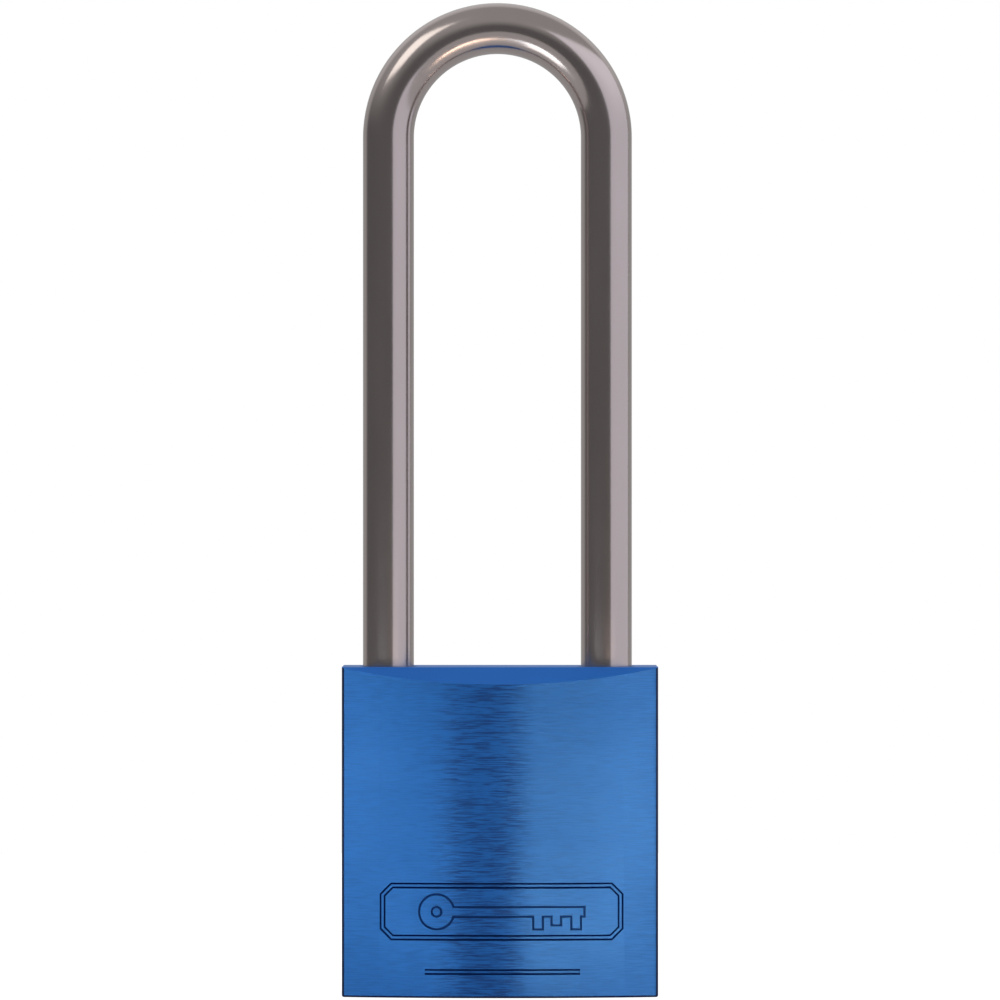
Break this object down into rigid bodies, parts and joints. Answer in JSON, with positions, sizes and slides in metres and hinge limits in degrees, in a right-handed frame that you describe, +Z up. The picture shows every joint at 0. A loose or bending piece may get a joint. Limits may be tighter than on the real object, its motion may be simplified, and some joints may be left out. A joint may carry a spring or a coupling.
{
  "type": "padlock",
  "caption": "Keyed safety padlock: crowned blue aluminium body, tall round steel shackle, pin-tumbler plug from below, cam and twin sliding bolts.",
  "frame": {"origin": "centre of the body's underside, on the cylinder plug's axis", "axes": "+Z up along the shackle legs, -Y towards the front with the engraving, +X towards the toe leg, which comes free"},
  "size_m": [0.04, 0.019, 0.1261],
  "materials": {
    "blue_anodised": "blue anodised, brushed across, satin",
    "shackle_steel": "polished hardened steel, warm grey",
    "brass": "turned",
    "bolt_steel": "hardened, ground",
    "pin_steel": "ground",
    "spring_steel": "bright drawn wire"
  },
  "bodies": {
    "body": {"lock_body": "blue_anodised", "shackle_retaining_pin": "pin_steel", "bolt_bore_plug": "blue_anodised", "plug_retaining_pin": "pin_steel", "driver_spring_1": "spring_steel", "driver_spring_2": "spring_steel", "driver_spring_3": "spring_steel", "driver_spring_4": "spring_steel", "driver_spring_5": "spring_steel", "driver_spring_6": "spring_steel", "chamber_plug_1": "blue_anodised", "chamber_plug_2": "blue_anodised", "chamber_plug_3": "blue_anodised", "chamber_plug_4": "blue_anodised", "chamber_plug_5": "blue_anodised", "chamber_plug_6": "blue_anodised", "chamber_plug_7": "blue_anodised"},
    "plug": {"cylinder_plug": "brass", "cam": "bolt_steel"},
    "heel_bolt": {"heel_bolt": "bolt_steel"},
    "toe_bolt": {"toe_bolt": "bolt_steel"},
    "shackle": {"shackle": "shackle_steel"},
    "key_pin_1": {"key_pin_1": "brass"},
    "driver_pin_1": {"driver_pin_1": "brass"},
    "key_pin_2": {"key_pin_2": "brass"},
    "driver_pin_2": {"driver_pin_2": "brass"},
    "key_pin_3": {"key_pin_3": "brass"},
    "driver_pin_3": {"driver_pin_3": "brass"},
    "key_pin_4": {"key_pin_4": "brass"},
    "driver_pin_4": {"driver_pin_4": "brass"},
    "key_pin_5": {"key_pin_5": "brass"},
    "driver_pin_5": {"driver_pin_5": "brass"},
    "key_pin_6": {"key_pin_6": "brass"},
    "driver_pin_6": {"driver_pin_6": "brass"}
  },
  "joints": [
    {"name": "shackle_lift", "type": "slide", "parent": "body", "child": "shackle", "axis": [0, 0, 1], "range_m": [0, 0.0125]},
    {"name": "plug_turn", "type": "hinge", "parent": "body", "child": "plug", "pos_m": [0, 0, 0], "axis": [0, 0, 1], "range_deg": [-90, 0]},
    {"name": "heel_bolt_slide", "type": "slide", "parent": "body", "child": "heel_bolt", "axis": [-1, 0, 0], "range_m": [0, 0.0022]},
    {"name": "toe_bolt_slide", "type": "slide", "parent": "body", "child": "toe_bolt", "axis": [1, 0, 0], "range_m": [0, 0.0022]},
    {"name": "key_pin_1_slide", "type": "slide", "parent": "plug", "child": "key_pin_1", "axis": [0, -1, 0], "range_m": [0, 0.0029]},
    {"name": "driver_pin_1_slide", "type": "slide", "parent": "body", "child": "driver_pin_1", "axis": [1, 0, 0], "range_m": [0, 0.0012], "stiffness_N_per_m": 150, "springref_m": -0.002, "deforming": ["driver_spring_1"]},
    {"name": "key_pin_2_slide", "type": "slide", "parent": "plug", "child": "key_pin_2", "axis": [0, -1, 0], "range_m": [0, 0.0017]},
    {"name": "driver_pin_2_slide", "type": "slide", "parent": "body", "child": "driver_pin_2", "axis": [1, 0, 0], "range_m": [0, 0.0024], "stiffness_N_per_m": 150, "springref_m": -0.002, "deforming": ["driver_spring_2"]},
    {"name": "key_pin_3_slide", "type": "slide", "parent": "plug", "child": "key_pin_3", "axis": [0, -1, 0], "range_m": [0, 0.0033]},
    {"name": "driver_pin_3_slide", "type": "slide", "parent": "body", "child": "driver_pin_3", "axis": [1, 0, 0], "range_m": [0, 0.0008], "stiffness_N_per_m": 150, "springref_m": -0.002, "deforming": ["driver_spring_3"]},
    {"name": "key_pin_4_slide", "type": "slide", "parent": "plug", "child": "key_pin_4", "axis": [0, -1, 0], "range_m": [0, 0.0021]},
    {"name": "driver_pin_4_slide", "type": "slide", "parent": "body", "child": "driver_pin_4", "axis": [1, 0, 0], "range_m": [0, 0.002], "stiffness_N_per_m": 150, "springref_m": -0.002, "deforming": ["driver_spring_4"]},
    {"name": "key_pin_5_slide", "type": "slide", "parent": "plug", "child": "key_pin_5", "axis": [0, -1, 0], "range_m": [0, 0.0037]},
    {"name": "driver_pin_5_slide", "type": "slide", "parent": "body", "child": "driver_pin_5", "axis": [1, 0, 0], "range_m": [0, 0.0004], "stiffness_N_per_m": 150, "springref_m": -0.002, "deforming": ["driver_spring_5"]},
    {"name": "key_pin_6_slide", "type": "slide", "parent": "plug", "child": "key_pin_6", "axis": [0, -1, 0], "range_m": [0, 0.0025]},
    {"name": "driver_pin_6_slide", "type": "slide", "parent": "body", "child": "driver_pin_6", "axis": [1, 0, 0], "range_m": [0, 0.0016], "stiffness_N_per_m": 150, "springref_m": -0.002, "deforming": ["driver_spring_6"]}
  ],
  "couplings": [
    {"joint": "heel_bolt_slide", "follows": "plug_turn", "m_per_rad": -0.0014005},
    {"joint": "toe_bolt_slide", "follows": "plug_turn", "m_per_rad": -0.0014005}
  ]
}
